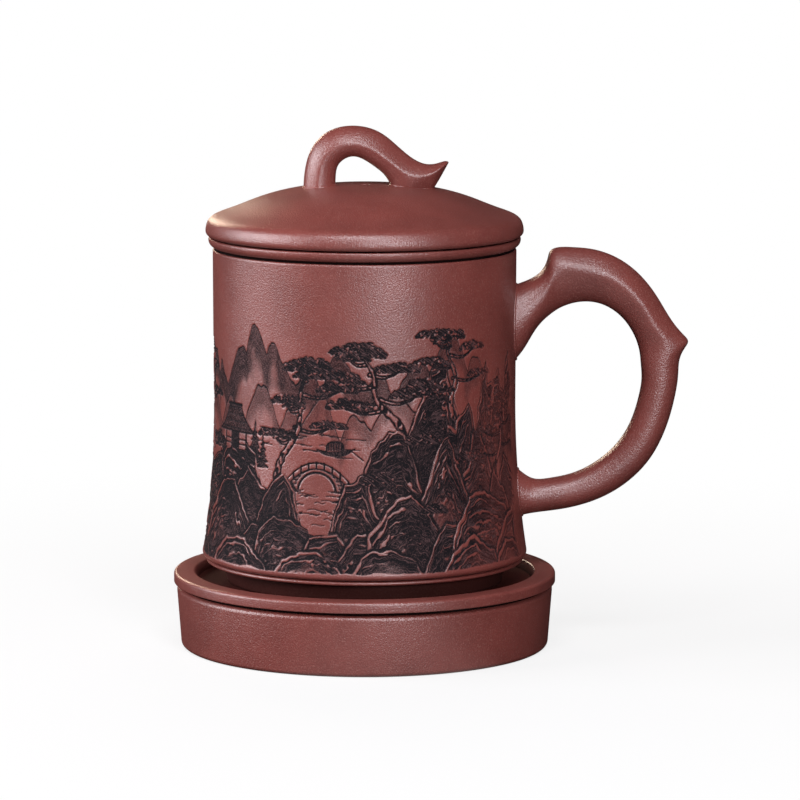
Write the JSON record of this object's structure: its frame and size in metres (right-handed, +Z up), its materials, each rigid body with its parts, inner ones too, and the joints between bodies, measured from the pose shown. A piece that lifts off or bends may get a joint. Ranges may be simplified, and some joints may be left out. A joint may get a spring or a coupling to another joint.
{
  "type": "lidded tea mug",
  "caption": "Lidded clay tea mug with a looped side handle, a bridge knob on its lid and a strainer liner inside, standing on a drum-shaped saucer.",
  "frame": {"origin": "middle of the saucer's rest face, on the cup's axis", "axes": "+Z up along the cup's axis, +X from the axis towards the handle, +Y to the back of the pictured view"},
  "size_m": [0.1422, 0.1056, 0.1441],
  "materials": {
    "clay": "unglazed purple-brown clay, fine grain, soft satin sheen",
    "carved_clay": "the same clay, carved in low relief and darkened in the cuts"
  },
  "bodies": {
    "saucer": {"saucer_skirt": "clay", "saucer_rim": "clay", "saucer_floor": "clay"},
    "cup": {"cup_wall": "carved_clay", "cup_floor": "clay", "foot_ring": "clay", "mouth_ring": "clay", "handle": "clay"},
    "liner": {"liner_rim": "clay", "liner_wall": "clay", "liner_floor": "clay"},
    "lid": {"lid_dome": "clay", "lid_flange": "clay", "lid_knob": "clay"}
  },
  "joints": [
    {"name": "cup_lift", "type": "slide", "parent": "saucer", "child": "cup", "axis": [0, 0, 1], "range_m": [0, 0.04]},
    {"name": "liner_lift", "type": "slide", "parent": "cup", "child": "liner", "axis": [0, 0, 1], "range_m": [0, 0.08]},
    {"name": "lid_lift", "type": "slide", "parent": "liner", "child": "lid", "axis": [0, 0, 1], "range_m": [0, 0.05]}
  ]
}
